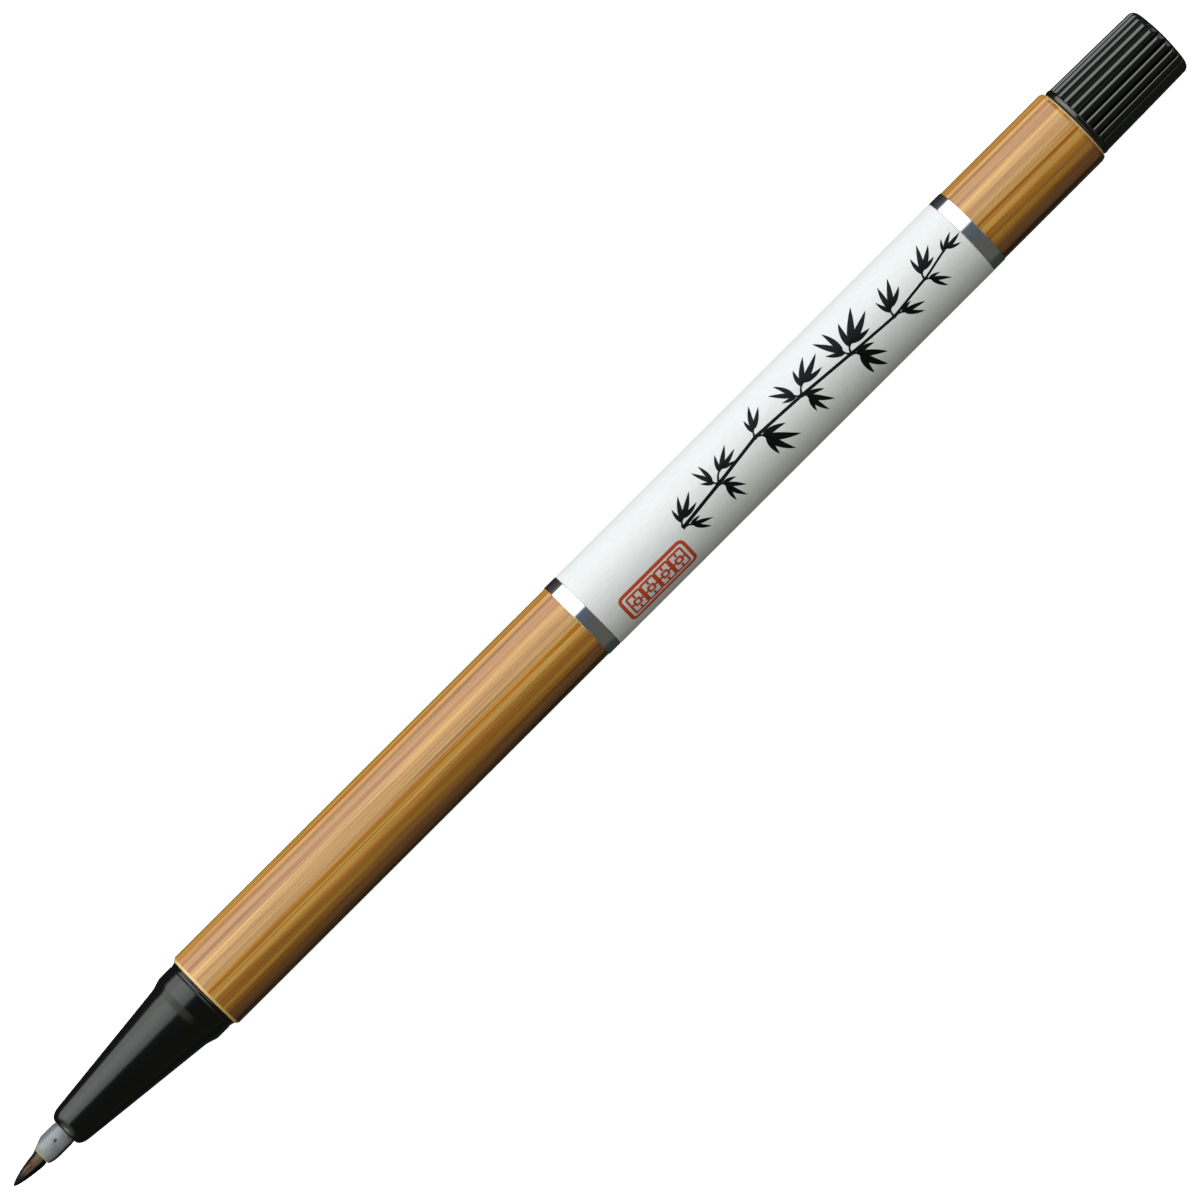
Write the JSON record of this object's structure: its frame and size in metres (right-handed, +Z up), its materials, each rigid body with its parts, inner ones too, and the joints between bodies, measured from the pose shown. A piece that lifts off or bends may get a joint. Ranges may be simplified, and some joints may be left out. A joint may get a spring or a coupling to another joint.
{
  "type": "brush pen",
  "caption": "Slim brush pen with a bamboo-patterned barrel, black tapered grip, fibre nib, pale wrap label between silver bands and a ribbed black tail plug; no cap.",
  "frame": {"origin": "middle of the pen's bounding box, on the surface that the pen lies on", "axes": "+X along the pen from the nib's point towards the tail plug, +Z up from the surface that it lies on"},
  "size_m": [0.1774, 0.0102, 0.0102],
  "materials": {
    "nib_fibre": "bonded fibres soaked with ink",
    "holder_plastic": "translucent grey, satin",
    "wick_fibre": "bonded fibre rod soaked with ink",
    "black_plastic": "polished black",
    "barrel_plastic": "polished warm yellow",
    "bamboo_print": "glossy printed bamboo grain, running lengthwise",
    "silver_band": "polished",
    "label_paper": "off-white with a faint fibre texture",
    "reservoir_fibre": "ink-soaked fibre bundle",
    "clear_film": "thin clear film"
  },
  "bodies": {
    "barrel": {"barrel_tube": "barrel_plastic", "bamboo_film": "bamboo_print", "front_band": "silver_band", "paper_label": "label_paper", "rear_band": "silver_band", "ink_reservoir": "reservoir_fibre", "reservoir_wrap": "clear_film"},
    "front_section": {"grip_section": "black_plastic", "relay_wick": "wick_fibre"},
    "nib_unit": {"nib": "nib_fibre", "nib_holder": "holder_plastic"},
    "tail": {"tail_plug": "black_plastic"}
  },
  "joints": [
    {"name": "front_section_pull", "type": "slide", "parent": "barrel", "child": "front_section", "axis": [-1, 0, 0], "range_m": [0, 0.025]},
    {"name": "nib_pull", "type": "slide", "parent": "front_section", "child": "nib_unit", "axis": [-1, 0, 0], "range_m": [0, 0.01]},
    {"name": "tail_plug_pull", "type": "slide", "parent": "barrel", "child": "tail", "axis": [1, 0, 0], "range_m": [0, 0.02]}
  ]
}
